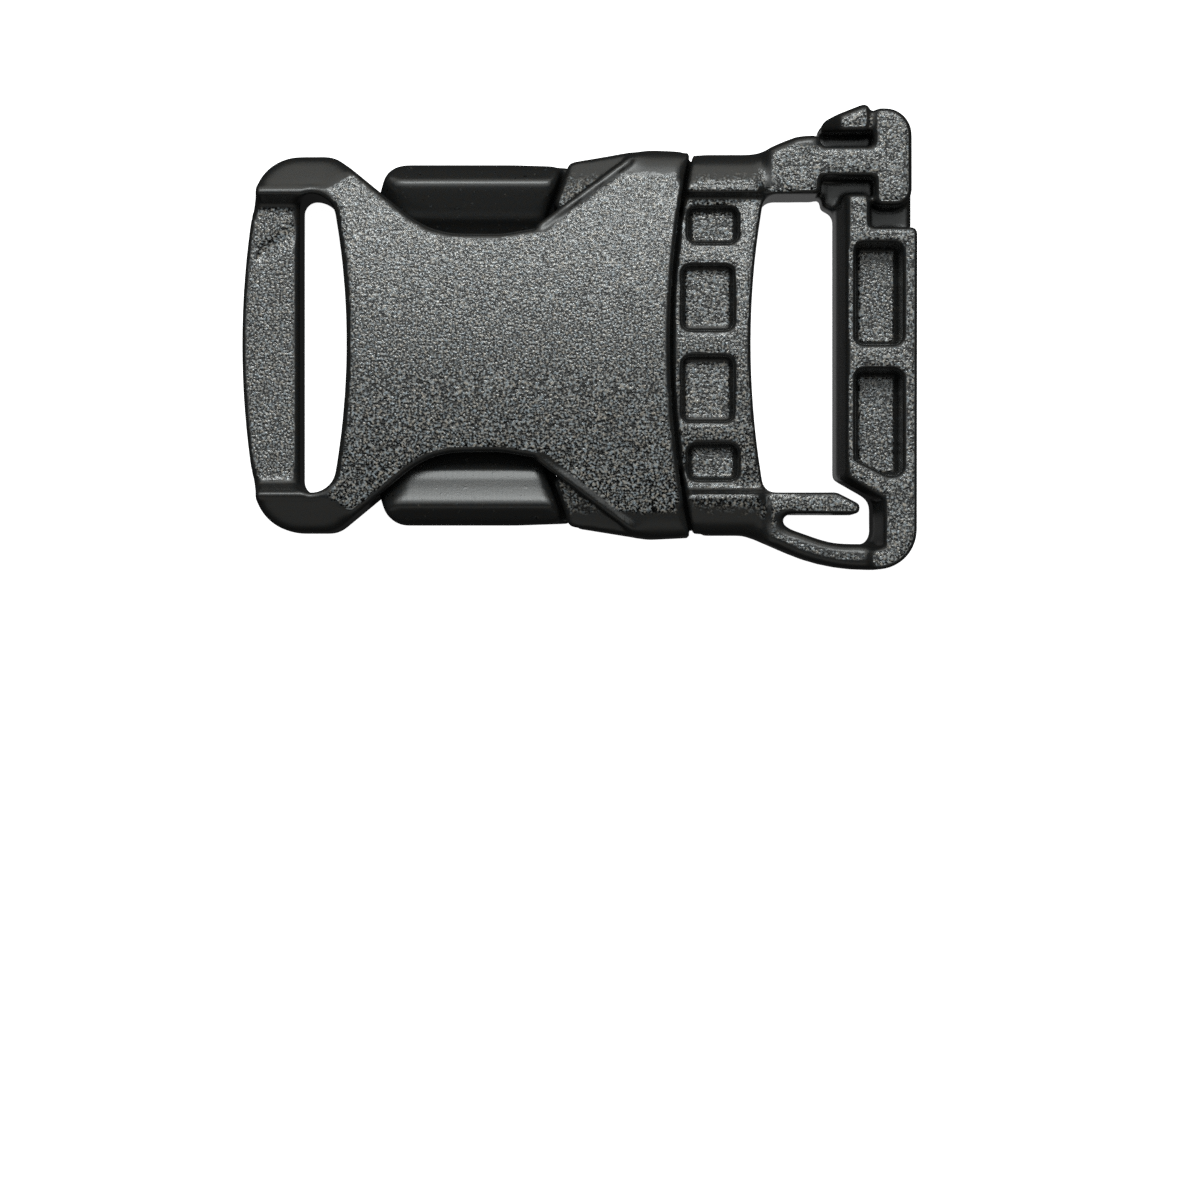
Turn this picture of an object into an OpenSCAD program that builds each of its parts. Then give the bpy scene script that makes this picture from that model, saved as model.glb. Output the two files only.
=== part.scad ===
// Side release buckle for 25 mm webbing, shown fastened: a hollow receiver with a fixed webbing bar,
// and a plug with two prongs and a split webbing bar that hooks over a T-shaped head.
// X runs along the buckle, Y across it, and Z up to the front face. The origin is under the middle.

/* [Whole buckle] */
// Thickness on the middle line
thick = 10; // [9.4:0.1:11]
// Radius of the front face across the buckle
crown_r = 90; // [80:5:140]
// Length of both webbing openings, along Y
slot_l = 27.8; // [27:0.2:28.4]
// Clearance between the two halves
gap = 0.3; // [0.2:0.05:0.4]
// Step of the lapped joint between them, which keeps light out
lap = 0.7; // [0.6:0.05:0.9]

/* [Receiver] */
// Length from the webbing bar to the joint at the shoulders
receiver_l = 41.9; // [41.5:0.05:42.5]
// Length of the lobes beside the webbing bar, up to where they turn in
lobe_l = 8.7; // [8.2:0.1:9.2]
// Width over the lobes
lobe_w = 35.2; // [34.6:0.1:36]
// Width over the shoulders at the mouth
shoulder_w = 36.4; // [35.8:0.1:37]
// Length of the shoulders, from the mouth to the catch
shoulder_l = 11.35; // [10.8:0.05:12]
// Slant of the catch, as the length it takes along X
catch_slant = 2.15; // [1.8:0.05:2.4]
// Width between the finger cut-outs
waist_w = 20.4; // [19.6:0.1:21.2]
// Bow of the webbing bar's outer edge
bow = 1.25; // [0.8:0.05:1.6]
// How far the middle of the mouth lies back from its corners
mouth_back = 2; // [1.6:0.1:2.4]
// Width of the webbing bar
bar_w = 5.2; // [4.8:0.1:5.4]
// Height of the webbing bar
bar_h = 7.2; // [6.5:0.1:8]
// Width of the webbing slot on the middle line
slot_w = 4.5; // [4.5:0.05:5]
// Thickness of the front and back walls
wall = 1.7; // [1.5:0.1:1.9]
// Thickness of the wall between the webbing slot and the hollow
end_wall = 1.95; // [1.5:0.05:2.2]
// Step down at the ridge on each shoulder
ridge_step = 0.45; // [0.3:0.05:0.6]
// Fall of the smooth faces on the lobes and shoulders, in degrees
ridge_fall = 30; // [20:1:35]

/* [Plug crossbar] */
// Width of the crossbar on the middle line
cross_w = 7.4; // [7.2:0.05:7.6]
// Width of the webbing opening between the crossbar and the split bar, on the middle line
open_w = 7.9; // [7.4:0.1:8.6]
// Step down from the receiver's front to the crossbar
cross_step = 1.3; // [1:0.1:1.6]
// Width over the shoulder blocks
block_w = 35.6; // [35:0.1:36]
// Depth of the pockets in the crossbar
pocket_d = 1.8; // [1.5:0.1:3]
// Slope of all pocket walls, as the width lost on each side for each millimetre of depth
pocket_slope = 0.08; // [0.05:0.01:0.12]

/* [Prongs] */
// Width over the finger pads
pad_w = 33.8; // [33.4:0.1:34.4]
// Width of the rounded outer face of a pad, outside its crest
crest_in = 2.05; // [1.8:0.05:2.3]
// Height of the crest of the finger pads
pad_h = 8; // [7.6:0.1:8.2]
// Width of a prong's flexible arm
prong_w = 3.2; // [2.8:0.1:3.4]
// Width of the centre tongue
tongue_w = 7.2; // [6.8:0.1:7.8]

/* [Split webbing bar] */
// Width of the bar
split_w = 7.5; // [7.3:0.1:7.8]
// Height of the bar, the arm and the T-shaped head
split_h = 8.4; // [8:0.1:9]
// Depth of the pockets in the bar
split_pocket_d = 4; // [3:0.1:5]
// Thickness of the saddle behind the T-shaped head
saddle_h = 3.9; // [3.4:0.1:4.2]
// Height of the flexible loop
loop_h = 7.9; // [7.2:0.1:8.2]
// How far the flexible loop reaches past the shoulder block
loop_out = 3.25; // [3:0.05:3.5]
// Length of the T-shaped head, along Y
head_l = 9.1; // [8.8:0.1:9.4]
// Width of the T-shaped head
head_w = 3.6; // [3.4:0.1:3.8]
// Width of the neck that carries the T-shaped head
neck_w = 2.85; // [2.6:0.05:3]

/* [Hidden] */
$fn = 96;
charcoal = [0.16, 0.17, 0.165];
pocket_r = 0.9;           // corner radius of the pockets
past = 1;                 // how far a cut runs past the face that it opens
arc_step = 9;             // largest turn of one straight stretch of a rounded corner, in degrees
total_l = receiver_l - mouth_back + gap + cross_w + open_w + split_w;
left_x = -total_l / 2;
right_x = total_l / 2;
joint_x = left_x + receiver_l;
open_y = slot_l / 2;
block_y = block_w / 2;
head_y = open_y - 1.05 + head_l; // top of the T-shaped head
arm_top = block_y + 1.65; // upper side of the arm
tip_y = head_y + 0.5;     // top of the hook, the highest point of the outline
loop_y = -block_y - loop_out; // bottom of the loop, the lowest point
centre_y = (tip_y + loop_y) / 2;

// Receiver
bar_x = left_x + bar_w;
slot_x = bar_x + slot_w;
lobe_y = lobe_w / 2;
shoulder_y = shoulder_w / 2;
waist_y = waist_w / 2;
bow_y = 14.2;             // half the length over which the webbing bar bows
chamber_x = slot_x + end_wall; // left end of the hollow
catch_top = [joint_x - shoulder_l, shoulder_y - 1.2];
catch_low = [catch_top.x - catch_slant, waist_y + 0.65];
mouth_r = (pow(shoulder_y, 2) + pow(mouth_back, 2)) / (2 * mouth_back);
mouth_x = joint_x - mouth_back;

// Plug
cross_x = mouth_x + gap + cross_w;
split_x = cross_x + open_w;
face_x = split_x + 1;     // where the sloped side of the split bar meets its face
arm_x = split_x - 1.5;
hook_x = arm_x - 0.45;    // left end of the hook, which reaches past the arm's end
loop_end = split_x + 2.85; // where the loop meets the split bar
bar_neck_x = face_x - 0.4; // left side of the split bar's own neck
head_right = right_x - 0.5;
head_x = head_right - head_w;
neck_y = open_y + 1.65;   // lower side of the neck that carries the T-shaped head
pad_y = pad_w / 2;
crest_y = pad_y - crest_in;
prong_y = waist_y - 2.2;  // inner face of a prong's arm
low_z = wall + gap + 0.1; // underside of the prongs and the tongue

function unit(v) = v / norm(v);

// Points of the corner at q, between p and s, rounded to radius r
function corner(p, q, s, r) = r == 0 ? [q] :
    let (
        a = unit(p - q),
        b = unit(s - q),
        half = acos(max(-1, min(1, a * b))) / 2,
        mid = q + unit(a + b) * r / sin(half),
        from = q + a * r / tan(half) - mid,
        to = q + b * r / tan(half) - mid,
        start = atan2(from.y, from.x),
        turn = (atan2(to.y, to.x) - start + 540) % 360 - 180,
        steps = max(ceil(abs(turn) / arc_step), ceil(abs(turn) * PI / 180 * r / 1.6))
    ) [for (i = [0 : steps]) mid + r * [cos(start + turn * i / steps), sin(start + turn * i / steps)]];

// Closed outline through corners [x, y, radius]
function rounded(c) = [
    for (i = [0 : len(c) - 1])
        let (p = c[(i + len(c) - 1) % len(c)], q = c[i], s = c[(i + 1) % len(c)])
            each corner([p.x, p.y], [q.x, q.y], [s.x, s.y], q.z)
];

// Radius of a bowed side: sag is its bow over the length 2 * half, and end is the length kept for its corners
function bow_r(half, sag, end = 1.6) = (half - end) * half / (2 * sag);

// The corners of one half followed by their mirror images, for an outline that is alike above and below
function both_halves(c) = concat(c, [for (i = [len(c) - 1 : -1 : 0]) if (c[i].y != 0) [c[i].x, -c[i].y, c[i].z]]);

module both_sides() {
    children();
    mirror([0, 1, 0]) children();
}

// Turns a section drawn in Y and Z into a bar of the given length along X
module along_x(x, length) {
    translate([x, 0, 0]) rotate([90, 0, 90]) linear_extrude(length) children();
}

// Turns a section drawn in X and Z into a bar of the given length along Y
module along_y(y, length) {
    translate([0, y + length, 0]) rotate([90, 0, 0]) linear_extrude(length) children();
}

// Everything above a face that falls away to the right of the crest from p to q
module fall(p, q, angle, reach) {
    d = q - p;
    run = norm(d);
    translate(p) rotate([0, -asin(d.z / run), atan2(d.y, d.x)]) along_x(0, run)
        polygon([[0, 0], [0, thick], [-reach, thick], [-reach, -reach * tan(angle)]]);
}

// Everything under the rounded front, lowered by drop
module crown(drop) {
    translate([left_x - past, 0, thick - drop - crown_r]) rotate([0, 90, 0])
        cylinder(r = crown_r, h = total_l + 2 * past, $fn = 360);
}

function crown_z(y, drop = 0) = thick - drop - crown_r + sqrt(pow(crown_r, 2) - pow(y, 2));

// Plan of the receiver, before the mouth is cut
module receiver_plan() {
    polygon(rounded(both_halves([
        [joint_x + 2, shoulder_y - 0.3, 0],
        [joint_x - 3.9, shoulder_y, 4],
        [catch_top.x, catch_top.y, 0.7],
        [catch_low.x, catch_low.y, 0.6],
        [catch_low.x - 4.1, waist_y - 0.05, 6],
        [left_x + lobe_l + 8.95, waist_y, 8],
        [left_x + lobe_l, lobe_y, 2.4],
        [left_x + bow * (2 * lobe_y / bow_y - 1), lobe_y, 4.2],
        [left_x - bow, 0, bow_r(bow_y, bow, 0)]
    ])));
}

// Webbing slot: its right side bows away from the bar
module slot_plan() {
    slot_bow = 1.2;
    slot_r = 2.3;
    polygon(rounded(both_halves([
        [bar_x + 0.2, open_y, 1.1],
        [slot_x - slot_bow, open_y, slot_r],
        [slot_x + slot_bow, 0, bow_r(open_y, slot_bow, slot_r)]
    ])));
}

// Hollow that takes the prongs: a guide behind the mouth, and a window on each side for a finger pad
module chamber() {
    guide_x = catch_low.x - 0.4;
    guide_y = catch_low.y + 1.35;
    intersection() {
        union() {
            linear_extrude(thick) polygon([
                [guide_x - past, -guide_y], [guide_x, -guide_y], [joint_x + past, -guide_y - 1.1],
                [joint_x + past, guide_y + 1.1], [guide_x, guide_y], [guide_x - past, guide_y]
            ]);
            translate([chamber_x, -shoulder_y - past, 0])
                cube([guide_x - chamber_x, 2 * (shoulder_y + past), thick]);
        }
        crown(wall);
        translate([left_x, -total_l / 2, wall]) cube([total_l, total_l, thick]);
    }
}

// Everything on the plug's side of the mouth line, set back by clear. The joint is lapped: its lower half
// lies further along, so that no light comes through the slit.
module mouth_side(clear) {
    step_z = thick / 2 + clear;
    translate([mouth_x + mouth_r, 0, step_z]) cylinder(r = mouth_r - clear, h = thick, $fn = 360);
    translate([mouth_x + mouth_r + lap, 0, -past]) cylinder(r = mouth_r - clear, h = step_z + past, $fn = 360);
}

// Step under the slanted end of each shoulder, which takes the ledge of a prong's head in a lapped joint
module catch_step() {
    along = unit(catch_top - catch_low);
    low = catch_low - 0.3 * along;
    top = catch_top + 0.5 * along;
    translate([0, 0, -past]) linear_extrude(thick / 2 + gap + past)
        polygon([low - [past, 0], low + [lap, 0], top + [lap, 0], top - [past, 0]]);
}

module receiver() {
    crest = open_y + 0.4;
    lobe_crest = [left_x + lobe_l - 0.4, crest, crown_z(crest)];
    lobe_turn = [3.2, 1.6, -0.15];
    lift = 0.1; // keeps the edge of a cut off the face of the one before
    lobe_turn_from = lobe_crest + [0, 0, lift] - 4 * lobe_turn;
    ridge_end = [joint_x - 3.9, shoulder_y + 0.45];
    facet_fall = ridge_fall - 6; // the facet outside the ridge is a little flatter
    edge_x = joint_x - 5.4;
    edge_y = shoulder_y - 2.9;
    edge_fall = ridge_fall - 12;
    edge_w = 1.5;
    edge_z = crown_z(edge_y) - edge_w * tan(edge_fall) + lift / 2;
    color(charcoal) difference() {
        intersection() {
            linear_extrude(thick) receiver_plan();
            crown(0);
        }
        mouth_side(0);
        // webbing slot
        translate([0, 0, -past]) linear_extrude(thick + 2 * past) slot_plan();
        // front of the webbing bar, below the lobes
        along_x(left_x - past, bar_w + slot_w / 2 + past) polygon([
            [-open_y + 0.8, bar_h], [open_y - 0.8, bar_h],
            [open_y + 0.3, thick], [-open_y - 0.3, thick]
        ]);
        chamber();
        both_sides() {
            catch_step();
            // smooth outer face of each lobe
            intersection() {
                fall(lobe_crest - [bar_w + slot_w, 0, 0], lobe_crest + [6, 0, 0], -ridge_fall, -lobe_y);
                fall(lobe_turn_from, lobe_turn_from + 6 * lobe_turn, -ridge_fall, -lobe_y);
            }
            // smooth outer face of each shoulder: a step down at a slanted ridge, then two slopes along the edge
            fall([catch_low.x, catch_low.y, crown_z(catch_low.y) - ridge_step],
                [ridge_end.x, ridge_end.y, crown_z(ridge_end.y) - ridge_step], -facet_fall, -lobe_y);
            fall([edge_x - edge_w, edge_y, crown_z(edge_y)], [joint_x + past, edge_y, crown_z(edge_y)],
                -edge_fall, -lobe_y);
            fall([edge_x, edge_y + edge_w, edge_z], [joint_x + past, edge_y + edge_w, edge_z],
                -ridge_fall - 6, -lobe_y);
        }
    }
}

// Pocket with four sloped walls and rounded corners, w by l at the mouth
module pocket(centre, w, l, top, depth) {
    in = pocket_slope * depth;
    out = pocket_slope * past;
    function wedge(size) = [
        [-size / 2 + in, -depth], [size / 2 - in, -depth], [size / 2 + out, past], [-size / 2 - out, past]
    ];
    translate([centre.x, centre.y, top]) intersection() {
        along_y(-l, 2 * l) polygon(wedge(w));
        along_x(-w, 2 * w) polygon(wedge(l));
        translate([0, 0, -2 * depth]) linear_extrude(4 * depth) polygon(rounded([
            [-w / 2, -l / 2, pocket_r], [w / 2, -l / 2, pocket_r],
            [w / 2, l / 2, pocket_r], [-w / 2, l / 2, pocket_r]
        ]));
    }
}

// Plan of the opening between the crossbar and the split bar, with the gap round the retaining finger
module opening_plan() {
    cross_bow = 1.15;
    finger_top = -open_y + 0.05;
    finger_low = finger_top - 2;
    finger_x = split_x + 2.15;
    loop_in = split_x + 3.5;
    polygon(rounded([
        [cross_x + cross_bow, open_y, 1.2],
        [arm_x + 0.05, open_y, 0],
        [arm_x + 0.05, open_y - 0.75, 0.4],
        [split_x, open_y - 1.2, 1],
        [split_x, finger_top + 1.4, 0.6],
        [loop_in, finger_top - 0.6, 1.4],
        [loop_in, loop_y + 2.4, 1.2],
        [loop_in - 3.9, loop_y + 2.4, 8],
        [cross_x + 2.7, finger_low - 1.1, 0.5],
        [cross_x + 2.9, finger_low, 0.3],
        [finger_x, finger_low, 0.4],
        [finger_x, finger_low + 0.9, 0.2],
        [split_x, finger_top, 0.3],
        [cross_x + cross_bow, finger_top, 1.2],
        [cross_x - cross_bow, 0, bow_r(open_y, cross_bow)]
    ]));
}

// Plan of everything in the plug that lies outside the receiver, but for the T-shaped head
module plug_plan() {
    difference() {
        polygon(rounded([
            [mouth_x - past, block_y, 0],
            [cross_x + 0.4, block_y, 4],
            [arm_x - 2.5, arm_top - 0.15, 5],
            [hook_x, arm_top, 0],
            [hook_x, tip_y - 2.35, 0.4],
            [arm_x + 0.65, tip_y - 1.4, 1],
            [head_x - 0.65, tip_y, 0.3],
            [head_x - gap, tip_y - 0.2, 0.2],
            [head_x - gap, head_y - 0.5, 0],
            [right_x - 0.25, head_y - 0.5, 2],
            [right_x - 0.25, open_y - 3.05, 0],
            [right_x, open_y - 3.05, 0.5],
            [right_x - 0.05, loop_y, 3.7],
            [split_x - 0.9, loop_y, 19],
            [cross_x - 0.5, -block_y, 3],
            [mouth_x - past, -block_y, 0]
        ]));
        opening_plan();
    }
}

// The part of the plan that children() cover
module region() {
    intersection() {
        linear_extrude(thick) plug_plan();
        children();
    }
}

// Crossbar and the two shoulder blocks, inside the receiver's mouth line
module crossbar() {
    block_end = cross_x + 0.4;
    crest = [block_end, open_y + 0.45, crown_z(open_y + 0.45)];
    difference() {
        region() intersection() {
            mouth_side(gap);
            union() {
                intersection() {
                    crown(cross_step);
                    translate([left_x, -block_y, 0]) cube([cross_x + 1.8 - left_x, block_w, thick]);
                }
                both_sides() along_x(left_x, cross_x + 1.1 - left_x) polygon([
                    [crest.y - 0.9, 0], [block_y + past, 0], [block_y + past, 5.6], [block_y - 1, crest.z - 1.1],
                    [crest.y + 0.2, crest.z], [crest.y - 0.3, crest.z], [crest.y - 0.9, crest.z - cross_step - 0.4]
                ]);
            }
        }
        // sloped end of each shoulder block
        both_sides() fall([block_end, crest.y - past, crest.z], [block_end, block_y + past, crest.z], 35, 3);
    }
}

// Pockets in the crossbar, two short and two long
module crossbar_pockets() {
    both_sides() {
        pocket([cross_x - 3.64, 11.04], 4.75, 3.45, crown_z(11, cross_step), pocket_d);
        pocket([cross_x - 4.14, 4.25], 4.85, 6.15, crown_z(2, cross_step), pocket_d);
    }
}

// Upper arm with the narrow neck and the T-shaped head that the split bar hooks on
module arm() {
    root_x = cross_x + 1;
    crest_x = cross_x + 1.7;
    region() along_y(open_y - 0.9, arm_top - open_y + 0.9) polygon([
        [root_x, 0], [arm_x, 0], [arm_x, split_h], [crest_x, split_h], [root_x, split_h - 0.6]
    ]);
    translate([0, 0, saddle_h + gap]) linear_extrude(split_h - saddle_h - gap) union() {
        translate([arm_x - 1, neck_y]) square([head_x - arm_x + 2, neck_w]);
        polygon(rounded([
            [head_x, head_y, 0.5],
            [head_right, head_y, 2.5],
            [head_right, head_y - head_l, 1.5],
            [head_x + 0.15, head_y - head_l, 0.6],
            [head_x + 0.15, neck_y, 0],
            [head_x, neck_y + 1, 0]
        ]));
    }
}

// Split bar with its saddle, the hook above the neck, and its sloped inner edge
module split_bar() {
    neck_top = open_y + 0.05;
    saddle_x = arm_x + gap;
    bar_top = open_y - 3.05;
    shoulder_top = open_y - 0.9;
    hook_y = arm_top + gap;
    top_z = split_h;
    round_x = face_x + 3.5;
    turn_y = -open_y - 0.55;
    difference() {
        region() union() {
            translate([saddle_x, bar_top - 1, 0]) cube([right_x - saddle_x, tip_y - bar_top + 1, saddle_h]);
            translate([hook_x, hook_y, 0]) cube([head_x - gap - hook_x, tip_y - hook_y, split_h]);
            translate([bar_neck_x, bar_top - 1, 0])
                cube([head_x - gap - bar_neck_x, neck_top - bar_top + 1, split_h]);
            linear_extrude(split_h) polygon([
                [split_x - 0.2, shoulder_top], [split_x - 0.2, -open_y + 0.8], [loop_end, -open_y - 1],
                [loop_end, loop_y], [right_x, loop_y], [right_x, bar_top], [head_x - gap, bar_top],
                [head_x - gap, shoulder_top]
            ]);
        }
        // sloped side that the webbing bears on, and its turn into the loop
        fall([face_x, neck_top + 0.1, top_z], [face_x, -open_y, top_z], 68, 1.6);
        intersection() {
            fall([face_x - 0.8, -open_y + 2.1, top_z], [round_x + 0.3, -open_y - 0.75, top_z], 68, 3);
            translate([split_x - past, turn_y, 0]) cube([split_w, split_w, thick + past]);
        }
        fall([round_x, turn_y + 0.1, top_z], [round_x, loop_y + 2, top_z], 68, 3);
        // smooth slope on the hook
        fall([head_x, tip_y - 0.1, top_z], [arm_x, tip_y - 2.05, top_z], 60, 3);
        fall([bar_neck_x - 0.3, tip_y, top_z], [bar_neck_x - 0.3, hook_y - past, top_z], 50, 4);
        // pockets, the lower one with a cut corner
        pocket([split_x + 3.92, 4.65], 4.45, 9.55, top_z, split_pocket_d);
        difference() {
            pocket([split_x + 3.92, -7.35], 4.45, 10, top_z, split_pocket_d);
            translate([split_x + 1.3, -10.6, 0]) rotate([0, 0, -27]) translate([-3, -6, 0]) cube([14, 6, thick]);
        }
    }
}

// Flexible loop that joins the split bar to the lower shoulder block, and the retaining finger
module loop() {
    foot_x = cross_x + 0.9;
    region() {
        translate([foot_x, loop_y, 1]) cube([loop_end + 0.3 - foot_x, -loop_y - open_y - 2, loop_h - 1]);
        translate([foot_x, -open_y - 2.2, 0.6]) cube([split_x + 2.3 - foot_x, 2.3, loop_h - 0.4]);
    }
}

// Plan of a prong's head, with clear between its slanted end and the receiver's shoulder
module head_plan(clear) {
    end_x = chamber_x + 1.1;
    polygon(rounded([
        [catch_low.x - 1.5, prong_y + 1, 0.8],
        [catch_low.x - clear - 0.1, catch_low.y - 0.3, 0],
        [catch_top.x - clear, pad_y - 0.2, 0.5],
        [catch_top.x - 5, pad_y, 20],
        [end_x + 1, pad_y, 2.3],
        [end_x - 0.4, crest_y - 2, 1.5],
        [end_x - 0.4, prong_y + 1, 1]
    ]));
}

// One prong: a flexible arm, and a head that fills the window and is dished towards the body
module prong() {
    arm_end = catch_low.x - 5;
    root_x = mouth_x + 1.4;
    crest_end = [chamber_x + 2.45, crest_y, pad_h];
    dish_turn = [1.4, -3.2, -0.8];
    difference() {
        intersection() {
            union() {
                translate([arm_end, prong_y, 0]) cube([root_x - arm_end, prong_w, pad_h - 0.8]);
                linear_extrude(thick) head_plan(gap + 0.2);
                linear_extrude(thick / 2) head_plan(gap - lap);
            }
            // section across the prong: a rounded outer side, a crest, and a dish
            along_x(left_x, total_l) polygon([
                [prong_y - past, low_z], [crest_y, low_z], [pad_y - 0.6, low_z + 0.8], [pad_y, low_z + 2.2],
                [pad_y, pad_h - 2.2], [pad_y - 0.6, pad_h - 0.8], [crest_y, pad_h], [crest_y - 1.5, pad_h - 0.65],
                [waist_y + 0.8, pad_h - 1.1], [prong_y - past, pad_h - 1.15]
            ]);
        }
        // the far end slopes down under the receiver's front wall
        fall(crest_end - 0.5 * dish_turn, crest_end + 1.4 * dish_turn, 45, 6);
    }
}

// Centre tongue that guides the plug into the receiver, and the web at the roots of the prongs
module tongue() {
    tip_x = catch_low.x - 5;
    root_x = mouth_x + 1.4;
    half = tongue_w / 2;
    web_y = prong_y + prong_w + 0.6;
    translate([0, 0, low_z]) linear_extrude(pad_h - 0.9 - low_z) polygon([
        [tip_x, -half + 1.5], [tip_x + 2, -half], [root_x, -half],
        [root_x, half], [tip_x + 2, half], [tip_x, half - 1.5]
    ]);
    translate([mouth_x - 1.8, -web_y, low_z]) cube([root_x - mouth_x + 1.8, 2 * web_y, pad_h - 1 - low_z]);
}

module plug() {
    color(charcoal) difference() {
        union() {
            crossbar();
            arm();
            split_bar();
            loop();
            both_sides() prong();
            tongue();
        }
        crossbar_pockets();
    }
}

translate([0, -centre_y, 0]) {
    receiver();
    plug();
}
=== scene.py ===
# Side release buckle for 25 mm webbing, fastened, lying on its back on a white table.
# It is seen from straight above.
# Lengths are in millimetres until an object is made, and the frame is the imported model's.
# x runs along the buckle, v across it from its own middle line, and z up from the table.
# A pair is where something starts and where it is whole. A zone is its lowest and highest value
# and the width of its soft border.

import math

import bpy
import numpy as np
import openvdb as vdb
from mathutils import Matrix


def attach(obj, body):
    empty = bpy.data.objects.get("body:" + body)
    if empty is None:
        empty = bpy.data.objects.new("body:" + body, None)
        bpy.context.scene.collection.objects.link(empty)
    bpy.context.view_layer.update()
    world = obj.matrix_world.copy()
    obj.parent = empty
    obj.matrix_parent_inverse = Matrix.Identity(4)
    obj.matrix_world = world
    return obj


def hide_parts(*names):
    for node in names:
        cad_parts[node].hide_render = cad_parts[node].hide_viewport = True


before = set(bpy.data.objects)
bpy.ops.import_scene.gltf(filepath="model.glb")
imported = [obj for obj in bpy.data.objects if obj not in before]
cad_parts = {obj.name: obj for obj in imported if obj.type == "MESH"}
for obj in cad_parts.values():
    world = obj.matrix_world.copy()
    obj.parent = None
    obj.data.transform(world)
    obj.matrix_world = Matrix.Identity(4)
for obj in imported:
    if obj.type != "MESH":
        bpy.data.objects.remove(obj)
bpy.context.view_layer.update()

MM = 0.001
CENTRE_Y = -0.7       # the frame's Y of the buckle's own middle line
FAR = 40.0            # farther than any end of the buckle

# Level sets and meshes
VOXEL = 0.13   # pitch of the level sets
MESH_STEP = 2    # pitch of the finished meshes, in voxels
NODE_REACH = 0.8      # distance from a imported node's surface over which its level set is true
REACH = 0.5           # the same for the rounded blocks
FINE = (0.25, 0.18)   # radii of crisp edges and of crisp inner corners
WIDE = (0.6, 0.4)     # radii of wide edges and of wide inner corners
BLEND_PASSES = 2      # averaging where crisp and wide edges meet
SETTLE_PASSES = 2     # moves of each point onto the surface
OUTSIDE = 2.0         # value of a finished grid away from its surface
INSET_DEPTH = 0.9     # depth under the front at which the distance from the rim is read

# Plastic
GRAIN_SCALE = 4.6     # grains of the moulded texture in a millimetre
GRAIN_DETAIL = 1.0
GRAIN_DEPTH = 0.075   # height of the grain
GRAIN_ROUGH = 0.1
PAINTED_PIT_SHADE = -0.14     # painted shade in the grain's pits and painted highlight on its tops, as lightness added to the colour
PAINTED_TOP_HIGHLIGHT = 0.25
SHADE_HIGHLIGHT_BAND = (0.35, 0.65)     # values of the noise that are a pit and a top
SMOOTH_BASE = 0.012   # lightness of the smooth plastic
SMOOTH_ROUGH = 0.33
TRACE = 0.06          # share of the grain's height that the smooth faces keep
STREAKS = 0.12        # height of the fine lines on the smooth faces, against the grain's
STREAK_STRETCH = (5.0, 0.12, 0.3)
BORDER_SCALE = 1.8    # how finely the grain's border is broken up, and how far it wanders
RAGGED = 0.8
BORDER_BAND = (0.2, 0.8)
PATCH_SCALE = 0.5     # size and strength of the large lighter and darker patches
PATCH = 0.15
TINT_SCALE = 0.7      # specks of one tint against the grain's, and how warm and how cool they get
TINT = 0.12
TINT_MIDDLE = 0.98
NOISE_BAND = (0.3, 0.7)       # range that most of a noise falls in

# Grain on both pieces
FACING = (0.93, 0.975)        # how level a face is, as its normal's Z

# Receiver, crisp zones
BAR = ((-FAR, -27.6, 0.8), (-13, 13, 0.4))
LOBE_CREST = ((-30, -22.5, 0.6), (13.3, 14.7, 0.4))
CATCH = ((-6, 0.5, 0.6), (10, 17, 0.6))
CATCH_TOP = (6.6, 7.4)
MOUTH_X = (7.2, 8.6)

# Receiver, forms
CROWN_TOP = 10.0      # height of the front on the middle line, and its radius across the buckle
CROWN_R = 90.0
CROWN_V = (0, 20)     # where the crown is needed
LEDGE = (10.3, 17.3)  # corner, in x and v, past which the lapped ledge is cut away
RIDGE = ((-3.6, 10.7), (5.4, 17.5))   # ends of the ridge on each shoulder
RIDGE_L = 11.0        # its rough length
BEAD_R = 0.42         # radius of the bead on the ridge, its axis' depth, and how much deeper the ends are
BEAD_SINK = 0.3
BEAD_DIP = 0.2
BEAD_LEVEL = (0.3, 0.85, 0.2)         # zone along the ridge where the bead isn't dipped
SEAM = 0.3            # width over which the bead melts into the front
DENT = ((-29.8, 8.4), (-26.0, 10.9))  # ends of the dent in the webbing bar
DENT_DEPTH = 0.2
DENT_W = 0.7
DENT_X = (-29.8, -26.9, 0.6)
DENT_V = (8.2, 11.2, 1.4)
DENT_Z = (5.6, 6.4)

# Boxes that are melted on both sides: passes, soft border, x, v and z
RECEIVER_MELTS = (
    (22, 0.8, (5.4, 9.6), (15.4, 19), (6.2, 11)),       # outer edges of the shoulders
    (20, 0.6, (-32, -22), (15.0, 18.5), (4.0, 11)),     # outer sides of the lobes
    (12, 0.5, (-32, -26.6), (11.9, 13.4), (6.2, 9)),    # feet of the lobes on the bar
    (24, 0.5, (-33, -30.4), (12.6, 15.2), (5, 11)),     # outer corners of the lobes
)
PLUG_MELTS = (
    (8, 0.6, (-22, 0), (10, 17), (5.6, 9)),             # finger pads
    (16, 0.8, (11.4, 19.5), (14.8, 19), (5.0, 10)),     # shoulder blocks
)
LOOP_MELT = (14, 0.8, (18.5, 26.4), (-22, -17.4), (5.0, 10))

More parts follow.
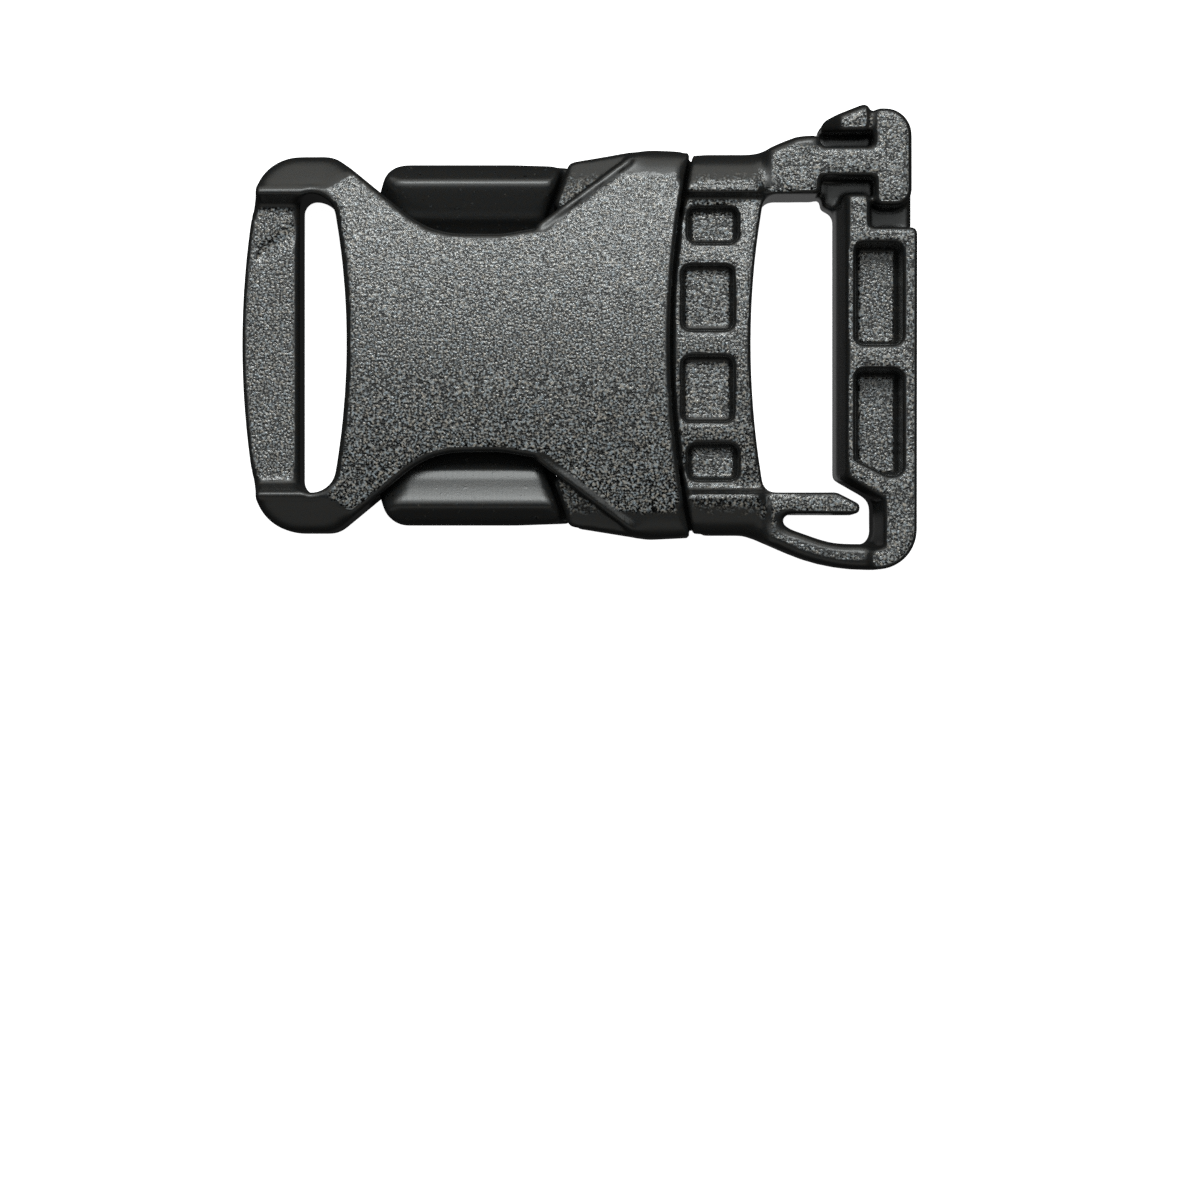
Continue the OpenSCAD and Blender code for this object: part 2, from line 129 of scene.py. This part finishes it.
# Receiver, grain
RECEIVER_FRONT = (6.0, 6.6)   # heights above which it may be
RECEIVER_RIM = (0.3, 0.6)     # how far in from the rim it begins
SHOULDER_RIM_V = (15.1, 16.4)
SHOULDER_RIM_X = (0.5, 1.5)
LOBE_X = (-FAR, -23.9, 1.6)
LOBE_V = (12.0, 13.3)
RIDGE_BARE = (0.3, 0.7)       # distance from the ridge
RIDGE_WHOLE = (0, 1, 0.05)    # zone along it
FACET_FACING = (0.80, 0.88)
FACET_X = (-3, 5.0, 0.8)
FACET_V = (10, 14.4, 2.4)
FACET_OFF = (0.3, 0.5)
FACET_GRAIN = 0.62

# Plug, widely rounded zones
PRONG_X = (0, 2)      # where the prongs end towards the crossbar
PAD_X = (-6, -5)      # where the pads end towards the arms
PAD_TOP = (5, 5.6)
PAD_SHARE = 0.7       # share of the wide rounding on the pads, and of that on the arms' tops
BLOCK_X = (11.4, 22, 0.8)
BLOCK_V = (15.4, 16.2)
LOOP_X = (17.5, 27.2, 0.6)
LOOP_V = (-17.4, -16.6)
HEAD_X = (21, 32, 1)
HEAD_V = (10.5, 11.5)
HEAD_SHARE = 0.4

# Plug, finger pads
PAD_END = ((-17.2, 14.85), (-15.4, 10.2))   # line past which the upper end of a pad slopes down
PAD_CREST = (14.85, 8.0)      # place across the buckle and height of a pad's crest
PAD_FALL = (13.5, 4.5)        # fall inside the crest, in degrees, and how much it grows in a millimetre
PAD_REACH = (-3, 6)   # how far outside and inside the crest the fall is worked out
PAD_SHOWN = ((-5.5, 9.5), (-3.5, 10.5), (-2.4, 11.4))   # inner border of what shows of a pad
SHOWN_SOFT = 0.3
PLAN_Z = 5.6          # height at which a pad's plan is read
HUMP_INSET = 0.4      # how far the filling stays inside the plan and the end line
HUMP_END = 0.2
HUMP_X = -1.6         # where the filling ends along the buckle, and its lowest height
HUMP_Z = 5
BEVEL = (15.1, 8.05)  # a point, in v and z, of the slanted cut outside the crest
CUT_IN = (3, 3.4)     # distance inside the crest from which the fall is cut too
CUT_X = (-0.5, 0)
CUT_Z = (4.6, 5.0)

# Plug, grain
PLUG_FRONT = (2.0, 3.0)
PLUG_FROM = (6.0, 7.0)
PLUG_RIM = (0.15, 0.35)
SADDLE_Z = (0, 4.4, 0.4)
SADDLE_V = (9, 10)
ARM_X = (14, 22.6, 0.6)       # the upper edge of the arm is smooth
ARM_V = (18.1, 18.8)
SMOOTH_BLOCK_X = (9, 17.6, 0.8)
SMOOTH_BLOCK_V = (14.0, 15.0)
SMOOTH_LOOP_X = (16, 26.4, 0.8)
SMOOTH_LOOP_V = (-17.2, -16.4)
LOOP_FACING = (0.975, 0.995)
LOOP_KEPT = 0.7       # share of the grain that the loop's most level faces keep
PAD_GRAIN = 0.1
PAD_GRAIN_X = (-2, -1)
PAD_GRAIN_Z = (5, 6)
BLOCK_FACING = (0.86, 0.95)
BLOCK_GRAIN_X = (9, 17.0, 0.8)
BLOCK_GRAIN_V = (14.3, 15.4, 1.6)
BLOCK_GRAIN = 0.7

# Light and camera
BROAD = 1.35          # radiance of the broad light, of the small bright one in it and of the low ones
CORE = 15.0
CORE_TILT = 29.0      # tilt of the small light from straight above, in degrees
BACK = 1.45
FRONT = 0.4
COOL = (0.96, 1.0, 0.99)
WARM = (1.0, 0.99, 0.92)
WORLD = 0.03
CAMERA = (1.934, -24.59, 360)         # place, and the sensor's width and the focal length
SENSOR = 36
LENS = 113.4


# Level sets

def node_mesh(name):
    """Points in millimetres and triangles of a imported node."""
    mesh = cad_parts[name].data
    mesh.calc_loop_triangles()
    points = np.empty(len(mesh.vertices) * 3, np.float32)
    mesh.vertices.foreach_get("co", points)
    corners = np.empty(len(mesh.loop_triangles) * 3, np.int32)
    mesh.loop_triangles.foreach_get("vertices", corners)
    return points.reshape(-1, 3) / MM, corners.reshape(-1, 3).astype(np.uint32)


def level_set(points, triangles=None, quads=None, reach=REACH, margin=2):
    """Signed distance grid of a closed mesh, true within reach of its surface and a margin in voxels."""
    faces = {}
    if triangles is not None and len(triangles):
        faces["triangles"] = triangles
    if quads is not None and len(quads):
        faces["quads"] = quads
    transform = vdb.createLinearTransform(voxelSize=VOXEL)
    return vdb.FloatGrid.createLevelSetFromPolygons(
        points, transform=transform, halfWidth=reach / VOXEL + margin, **faces)


def rounded_set(grid, edge, fillet):
    """The shape with its outer edges rounded to radius edge, and its inner corners to radius fillet."""
    shrunk = grid.convertToPolygons(isovalue=-edge)
    grown = level_set(*shrunk, reach=edge + fillet)
    swollen = grown.convertToPolygons(isovalue=edge + fillet)
    return level_set(*swollen, reach=fillet + REACH)


class Field:
    """A dense block of distances over a node's box."""

    def __init__(self, points, pad=8):
        self.low = np.floor(points.min(0) / VOXEL).astype(int) - pad
        high = np.ceil(points.max(0) / VOXEL).astype(int) + pad
        self.shape = tuple(high - self.low + 1)
        self.axes = [(self.low[i] + np.arange(self.shape[i])) * VOXEL for i in range(3)]

    def grid(self):
        x, y, z = self.axes
        return x[:, None, None], y[None, :, None] - CENTRE_Y, z[None, None, :]

    def read(self, grid, shift=0.0):
        block = np.empty(self.shape, np.float32)
        grid.copyToArray(block, ijk=tuple(int(v) for v in self.low))
        return block + shift


def smoothed(block, passes):
    """Softens a block by repeated averaging with its neighbours."""
    for _ in range(passes):
        for axis in range(3):
            a = np.moveaxis(block, axis, 0)
            b = a.copy()
            b[1:-1] = 0.25 * a[:-2] + 0.5 * a[1:-1] + 0.25 * a[2:]
            block = np.moveaxis(b, 0, axis)
    return np.ascontiguousarray(block)


def step(lo, hi, v):
    """Smooth step from 0 at lo to 1 at hi."""
    t = np.clip((v - lo) / (hi - lo), 0, 1)
    return t * t * (3 - 2 * t)


def span(lo, hi, soft, v):
    """1 between lo and hi, falling to 0 over a soft border outside."""
    return step(lo - soft, lo, v) * (1 - step(hi, hi + soft, v))


def zone(place, x, v):
    """1 inside a place's two zones, falling to 0 over their soft borders."""
    along, across = place
    return span(*along, x) * span(*across, v)


def sample(block, low, points):
    """Trilinear values of a block at points in millimetres."""
    p = points / VOXEL - low
    i = np.clip(np.floor(p).astype(int), 0, np.array(block.shape) - 2)
    f = (p - i).astype(np.float32)
    out = 0
    for dx in (0, 1):
        for dy in (0, 1):
            for dz in (0, 1):
                w = (np.where(dx, f[:, 0], 1 - f[:, 0]) * np.where(dy, f[:, 1], 1 - f[:, 1])
                     * np.where(dz, f[:, 2], 1 - f[:, 2]))
                out = out + w * block[i[:, 0] + dx, i[:, 1] + dy, i[:, 2] + dz]
    return out


def surface(name, field, block, material):
    """Mesh object of a block's zero surface, with its points and their normals."""
    coarse = np.ascontiguousarray(block[::MESH_STEP, ::MESH_STEP, ::MESH_STEP])
    grid = vdb.FloatGrid(OUTSIDE)
    grid.copyFromArray(coarse, tolerance=0.0)
    grid.transform = vdb.createLinearTransform(voxelSize=VOXEL * MESH_STEP)
    points, triangles, quads = grid.convertToPolygons(isovalue=0.0, adaptivity=0.0)
    points = points + field.low * VOXEL
    slopes = [sample(g, field.low, points) for g in np.gradient(block, VOXEL)]
    normals = np.stack(slopes, 1)
    length = np.maximum(np.linalg.norm(normals, axis=1, keepdims=True), 1e-6)
    # settle the points on the surface itself
    for _ in range(SETTLE_PASSES):
        off = sample(block, field.low, points)[:, None]
        points = points - off * normals / length ** 2
    normals /= length
    # known fault: reversed like this, the faces of the finished mesh point inward
    faces = [tuple(q[::-1]) for q in quads.tolist()] + [tuple(t[::-1]) for t in triangles.tolist()]
    mesh = bpy.data.meshes.new(name)
    mesh.from_pydata((points * MM).tolist(), [], faces)
    mesh.polygons.foreach_set("use_smooth", [True] * len(mesh.polygons))
    mesh.materials.append(material)
    mesh.update()
    piece = bpy.data.objects.new(name, mesh)
    bpy.context.scene.collection.objects.link(piece)
    print(name, len(points), "points", len(faces), "faces")
    return piece, points, normals


def attribute(piece, name, values):
    """Keeps one number for each point of a piece, for its material to read."""
    layer = piece.data.attributes.new(name, "FLOAT", "POINT")
    layer.data.foreach_set("value", np.ascontiguousarray(values, dtype=np.float32))


# Material

def plastic(name):
    """Dark moulded plastic: spark-eroded grain where the mould had it, satin elsewhere."""
    material = bpy.data.materials.new(name)
    material.use_nodes = True
    nodes = material.node_tree.nodes
    links = material.node_tree.links
    shader = nodes["Principled BSDF"]
    coordinates = nodes.new("ShaderNodeTexCoord")
    grain = nodes.new("ShaderNodeAttribute")
    grain.attribute_name = "grain"

    def noise(scale, detail, roughness=0.5, stretch=(1, 1, 1)):
        mapping = nodes.new("ShaderNodeMapping")
        mapping.inputs["Scale"].default_value = [s / MM for s in stretch]
        texture = nodes.new("ShaderNodeTexNoise")
        texture.inputs["Scale"].default_value = scale
        texture.inputs["Detail"].default_value = detail
        texture.inputs["Roughness"].default_value = roughness
        links.new(coordinates.outputs["Object"], mapping.inputs["Vector"])
        links.new(mapping.outputs["Vector"], texture.inputs["Vector"])
        return texture.outputs["Fac"]

    def math_node(kind, a, b):
        node = nodes.new("ShaderNodeMath")
        node.operation = kind
        for socket, value in zip(node.inputs, (a, b)):
            if isinstance(value, (int, float)):
                socket.default_value = value
            else:
                links.new(value, socket)
        return node.outputs[0]

    def between(value, lo, hi, low, high):
        node = nodes.new("ShaderNodeMapRange")
        node.inputs["From Min"].default_value = lo
        node.inputs["From Max"].default_value = hi
        node.inputs["To Min"].default_value = low
        node.inputs["To Max"].default_value = high
        links.new(value, node.inputs["Value"])
        return node.outputs[0]

    pits = noise(GRAIN_SCALE, GRAIN_DETAIL)
    cloud = noise(PATCH_SCALE, 2.0)
    streaks = noise(1.0, 2.0, stretch=STREAK_STRETCH)
    # the grain's border is broken up, and a faint trace of it lies on the smooth faces too
    wander = math_node("MULTIPLY", noise(BORDER_SCALE, 2.0), RAGGED)
    ragged = math_node("ADD", grain.outputs["Fac"], wander)
    starts, whole = BORDER_BAND
    amount = between(ragged, 0.5 * RAGGED + starts, 0.5 * RAGGED + whole, 0, 1)
    kept = math_node("ADD", math_node("MULTIPLY", amount, 1 - TRACE), TRACE)
    relief = math_node("MULTIPLY", pits, kept)
    height = math_node("ADD", relief, math_node("MULTIPLY", streaks, STREAKS))
    bump = nodes.new("ShaderNodeBump")
    bump.inputs["Strength"].default_value = 1.0
    bump.inputs["Distance"].default_value = GRAIN_DEPTH * MM
    links.new(height, bump.inputs["Height"])
    links.new(bump.outputs["Normal"], shader.inputs["Normal"])

    # the tops of the grain get a painted highlight and its pits a painted shade, and large patches differ a
    # little in tone
    painted_pit_shade_and_highlight = math_node("MULTIPLY", between(pits, *SHADE_HIGHLIGHT_BAND, PAINTED_PIT_SHADE, PAINTED_TOP_HIGHLIGHT), amount)
    patch = between(cloud, *NOISE_BAND, 1 - PATCH, 1 + PATCH)
    base = math_node("ADD", SMOOTH_BASE, math_node("MULTIPLY", painted_pit_shade_and_highlight, patch))
    # some specks are a little warmer and some a little cooler
    warmth = noise(TINT_SCALE * GRAIN_SCALE, 0.0)
    redder = between(warmth, *NOISE_BAND, TINT_MIDDLE - TINT, TINT_MIDDLE + TINT)
    bluer = between(warmth, *NOISE_BAND, TINT_MIDDLE + TINT, TINT_MIDDLE - TINT)
    color = nodes.new("ShaderNodeCombineColor")
    links.new(math_node("MULTIPLY", base, redder), color.inputs[0])
    links.new(base, color.inputs[1])
    links.new(math_node("MULTIPLY", base, bluer), color.inputs[2])
    links.new(color.outputs[0], shader.inputs["Base Color"])
    links.new(between(amount, 0, 1, SMOOTH_ROUGH, GRAIN_ROUGH), shader.inputs["Roughness"])
    return material


# Pieces

def both(name):
    """A node's distances with finely and with widely rounded edges."""
    points, triangles = node_mesh(name)
    field = Field(points)
    grid = level_set(points, triangles, reach=NODE_REACH)
    fine, wide = (field.read(rounded_set(grid, *radii), radii[1]) for radii in (FINE, WIDE))
    return field, fine, wide


def soften(field, block, passes, soft, *ranges):
    """Melts the forms inside a box, given as its lowest and highest x, v and z."""
    axes = [field.axes[0], field.axes[1] - CENTRE_Y, field.axes[2]]
    cut = []
    weights = []
    for axis, (lo, hi) in zip(axes, ranges):
        inside = np.nonzero((axis > lo - soft - 1) & (axis < hi + soft + 1))[0]
        cut.append(slice(inside[0], inside[-1] + 1))
        weights.append(span(lo, hi, soft, axis[inside]))
    part = block[tuple(cut)]
    weight = weights[0][:, None, None] * weights[1][None, :, None] * weights[2][None, None, :]
    block[tuple(cut)] = part * (1 - weight) + smoothed(part, passes) * weight


def soften_sides(field, block, melts):
    """Melts boxes on both sides of the buckle."""
    for side in (-1, 1):
        for passes, soft, along, across, up in melts:
            soften(field, block, passes, soft, along, sorted(side * v for v in across), up)


def from_line(x, v, p, q):
    """Signed distance of x, v from the line through p and q, and how far along it they lie, from 0 to 1."""
    dx, dv = q[0] - p[0], q[1] - p[1]
    length = math.hypot(dx, dv)
    along = ((x - p[0]) * dx + (v - p[1]) * dv) / length ** 2
    return ((x - p[0]) * dv - (v - p[1]) * dx) / length, along


def inset(field, block, points):
    """Distance in from the rim, up to the reach of the block, of points on the front."""
    return -sample(block, field.low, points - np.array([0, 0, INSET_DEPTH]))


def crown(v):
    """Height of the receiver's rounded front."""
    return CROWN_TOP - CROWN_R + np.sqrt(CROWN_R ** 2 - v ** 2)


def add_bead(block, x, side_v, z):
    """A low bead along the slanted ridge of each shoulder, melted into the front."""
    off, along = from_line(x, side_v, *RIDGE)
    axis_z = crown(np.clip(side_v, *CROWN_V)) - BEAD_SINK - BEAD_DIP * (1 - span(*BEAD_LEVEL, along))
    past = np.clip(np.abs(along - 0.5) - 0.5, 0, 1) * RIDGE_L
    bead = np.sqrt(off ** 2 + (z - axis_z) ** 2 + past ** 2) - BEAD_R
    near = np.clip(0.5 + (block - bead) / SEAM, 0, 1)
    return (block * (1 - near) + bead * near - 0.5 * SEAM * near * (1 - near)).astype(np.float32)


def add_dent(block, x, v, z):
    """A shallow slanted dent at the upper end of the webbing bar."""
    off, _ = from_line(x, v, *DENT)
    dent = DENT_DEPTH * np.exp(-(off / DENT_W) ** 2) * span(*DENT_V, v) * span(*DENT_X, x)
    return (block + dent * step(*DENT_Z, z)).astype(np.float32)


def receiver_grain(field, block, points, normals):
    """Grain on the front, but for the rims, the lobes, the ridges and the shoulders' outer edges."""
    x, v, z = points[:, 0], np.abs(points[:, 1] - CENTRE_Y), points[:, 2]
    grain = step(*FACING, normals[:, 2]) * step(*RECEIVER_FRONT, z)
    grain *= 1 - step(*SHOULDER_RIM_V, v) * step(*SHOULDER_RIM_X, x)
    grain *= 1 - span(*LOBE_X, x) * step(*LOBE_V, v)
    off, along = from_line(x, v, *RIDGE)
    grain *= 1 - (1 - step(*RIDGE_BARE, np.abs(off))) * span(*RIDGE_WHOLE, along)
    grain *= step(*RECEIVER_RIM, inset(field, block, points))
    # the slanted facets outside the ridges have a fainter grain
    facet = step(*FACET_FACING, normals[:, 2]) * span(*FACET_X, x) * span(*FACET_V, v)
    facet *= step(*FACET_OFF, -off)
    return np.maximum(grain, FACET_GRAIN * facet * (1 - grain))


def build_receiver():
    field, fine, wide = both("receiver")
    x, v, z = field.grid()
    side_v = np.abs(v)
    # the bar, the mouth, the lobes' crests and the ends of the shoulders keep crisper edges than the rest
    bar = zone(BAR, x, v)
    lobe_crest = zone(LOBE_CREST, x, side_v)
    catch = zone(CATCH, x, side_v) * (1 - step(*CATCH_TOP, z))
    mouth = step(*MOUTH_X, x) * np.ones_like(z)
    weight = (1 - bar) * (1 - lobe_crest) * (1 - catch) * (1 - mouth)
    block = smoothed(fine * (1 - weight) + wide * weight, BLEND_PASSES)
    # the lapped ledge ends short of the shoulders' sides
    ledge_x, ledge_v = LEDGE
    block = np.maximum(block, np.minimum(x - ledge_x, side_v - ledge_v) + 0 * z).astype(np.float32)
    block = add_bead(block, x, side_v, z)
    block = add_dent(block, x, v, z)
    soften_sides(field, block, RECEIVER_MELTS)
    piece, points, normals = surface("receiver_shell", field, block, plastic("receiver_plastic"))
    finish(piece, "receiver", receiver_grain(field, block, points, normals))


def shape_pads(field, block, x, side_v, z):
    """Makes each pad a smooth hump: steep outside its crest, and falling ever more inside it."""
    crest_v, crest_z = PAD_CREST
    fall_start, fall_growth = PAD_FALL
    inward = np.clip(crest_v - side_v, *PAD_REACH)
    within = np.clip(inward, 0, PAD_REACH[1])
    fall = np.radians(fall_start + fall_growth * within)
    top = crest_z - within * np.tan(np.radians(fall_start + 0.5 * fall_growth * within))
    level = int(round(PLAN_Z / VOXEL)) - field.low[2]
    plan = block[:, :, level:level + 1]
    past_end, _ = from_line(x, side_v, *PAD_END)
    # fill up to the hump
    hump = np.maximum(np.maximum((z - top) * np.cos(fall), plan + HUMP_INSET), past_end + HUMP_END)
    hump = np.maximum(hump, np.maximum(x - HUMP_X, HUMP_Z - z))
    block = np.minimum(block, hump)
    # cut down to it, but not on the arms and the tongue inside the receiver, which keep their height
    outside = (side_v - BEVEL[0] + z - BEVEL[1]) * math.sqrt(0.5)
    inside = (z - top) * np.cos(fall) - FAR * (1 - step(*CUT_IN, inward))
    elsewhere = FAR * step(*CUT_X, x) + FAR * (1 - step(*CUT_Z, z))
    border = np.interp(x, *zip(*PAD_SHOWN))
    hidden = FAR * (1 - step(border - SHOWN_SOFT, border, side_v))
    return np.maximum(block, np.maximum(outside, inside) - elsewhere - hidden).astype(np.float32)


def plug_grain(field, block, points, normals):
    """Grain on the front, less or none on the saddle, the arm's upper edge, the blocks and the loop."""
    x, v, z = points[:, 0], points[:, 1] - CENTRE_Y, points[:, 2]
    grain = step(*FACING, normals[:, 2]) * step(*PLUG_FRONT, z) * step(*PLUG_FROM, x)
    grain *= 1 - span(*SADDLE_Z, z) * step(*SADDLE_V, v)
    grain *= step(*PLUG_RIM, inset(field, block, points))
    grain *= 1 - span(*ARM_X, x) * step(*ARM_V, v)
    grain *= 1 - span(*SMOOTH_BLOCK_X, x) * step(*SMOOTH_BLOCK_V, np.abs(v))
    loop = span(*SMOOTH_LOOP_X, x) * (1 - step(*SMOOTH_LOOP_V, v))
    grain *= 1 - loop * (1 - LOOP_KEPT * step(*LOOP_FACING, normals[:, 2]))
    grain = np.maximum(grain, PAD_GRAIN * (1 - step(*PAD_GRAIN_X, x)) * step(*PAD_GRAIN_Z, z))
    blocks = step(*BLOCK_FACING, normals[:, 2]) * span(*BLOCK_GRAIN_X, x) * span(*BLOCK_GRAIN_V, np.abs(v))
    return np.maximum(grain, BLOCK_GRAIN * blocks * (1 - grain))


def build_plug():
    field, fine, wide = both("plug")
    x, v, z = field.grid()
    side_v = np.abs(v)
    # the pads, the shoulder blocks, the T-shaped head and the loop are widely rounded
    pads = (1 - step(*PRONG_X, x)) * np.maximum(1 - step(*PAD_X, x), PAD_SHARE * step(*PAD_TOP, z))
    blocks = span(*BLOCK_X, x) * step(*BLOCK_V, side_v)
    loop = span(*LOOP_X, x) * (1 - step(*LOOP_V, v))
    head = HEAD_SHARE * span(*HEAD_X, x) * step(*HEAD_V, v)
    weight = np.maximum(np.maximum(PAD_SHARE * pads, blocks), np.maximum(loop, head))
    block = smoothed(fine * (1 - weight) + wide * weight, BLEND_PASSES)
    block = shape_pads(field, block, x, side_v, z)
    soften_sides(field, block, PLUG_MELTS)
    soften(field, block, *LOOP_MELT)
    piece, points, normals = surface("plug_shell", field, block, plastic("plug_plastic"))
    finish(piece, "plug", plug_grain(field, block, points, normals))


def finish(piece, name, grain):
    """Gives a piece its grain, and puts it in its node's place."""
    attribute(piece, "grain", np.clip(grain, 0, 1))
    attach(piece, "root")
    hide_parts(name)


build_receiver()
build_plug()


# Table, light and camera, with the sizes of the set and the lights in metres

def sheet(name, low, high, z, color, glow):
    """Level rectangle of the set, which gives off a little light of its own."""
    material = bpy.data.materials.new(name)
    material.use_nodes = True
    shader = material.node_tree.nodes["Principled BSDF"]
    shader.inputs["Base Color"].default_value = (color, color, color, 1)
    shader.inputs["Roughness"].default_value = 0.9
    shader.inputs["Emission Color"].default_value = (1, 1, 1, 1)
    shader.inputs["Emission Strength"].default_value = glow
    corners = [(low[0], low[1], z), (high[0], low[1], z), (high[0], high[1], z), (low[0], high[1], z)]
    mesh = bpy.data.meshes.new(name)
    mesh.from_pydata(corners, [], [(0, 1, 2, 3)])
    mesh.materials.append(material)
    piece = bpy.data.objects.new(name, mesh)
    bpy.context.scene.collection.objects.link(piece)
    return piece


# the table is lit apart from the buckle, so it puts no light on the walls
table = sheet("table", low=(-6, -6), high=(6, 6), z=0, color=0.9, glow=0.96)
table.visible_diffuse = False
table.visible_glossy = False
# a grey card under the plug's opening shows in the walls round it
card = sheet("card", low=(0.0175, -0.020), high=(0.0240, 0.020), z=-0.0005, color=0.2, glow=0.22)
card.visible_camera = False
card.visible_diffuse = False


def softbox(name, tilt, distance, width, height, radiance, color=(1, 1, 1)):
    """Area light aimed at the buckle, tilted from straight above towards the far side."""
    light = bpy.data.lights.new(name, "AREA")
    light.shape = "RECTANGLE"
    light.size = width
    light.size_y = height
    light.energy = radiance * math.pi * width * height
    light.color = color
    lamp = bpy.data.objects.new(name, light)
    a = math.radians(tilt)
    lamp.location = (0, distance * math.sin(a), distance * math.cos(a))
    lamp.rotation_euler = (-a, 0, 0)
    bpy.context.scene.collection.objects.link(lamp)
    return lamp


softbox("broad", tilt=18, distance=0.90, width=1.2, height=0.85, radiance=BROAD, color=COOL)
softbox("core", tilt=CORE_TILT, distance=0.85, width=0.30, height=0.24, radiance=CORE, color=COOL)
softbox("back", tilt=60, distance=1.00, width=1.4, height=0.45, radiance=BACK, color=WARM)
softbox("front", tilt=-55, distance=1.00, width=1.4, height=0.50, radiance=FRONT, color=WARM)

world = bpy.data.worlds.new("studio")
bpy.context.scene.world = world
world.use_nodes = True
world.node_tree.nodes["Background"].inputs["Color"].default_value = (1, 1, 1, 1)
world.node_tree.nodes["Background"].inputs["Strength"].default_value = WORLD

camera_data = bpy.data.cameras.new("camera")
camera = bpy.data.objects.new("camera", camera_data)
bpy.context.scene.collection.objects.link(camera)
camera.location = [c * MM for c in CAMERA]
camera_data.sensor_width = SENSOR
camera_data.lens = LENS
camera_data.clip_start = 0.01
camera_data.clip_end = 20
bpy.context.scene.camera = camera

view = bpy.context.scene.view_settings
view.view_transform = "Standard"
view.look = "None"
view.exposure = 0
view.gamma = 1
# smoothing the picture afterwards would wipe out the grain
bpy.context.scene.cycles.use_denoising = False
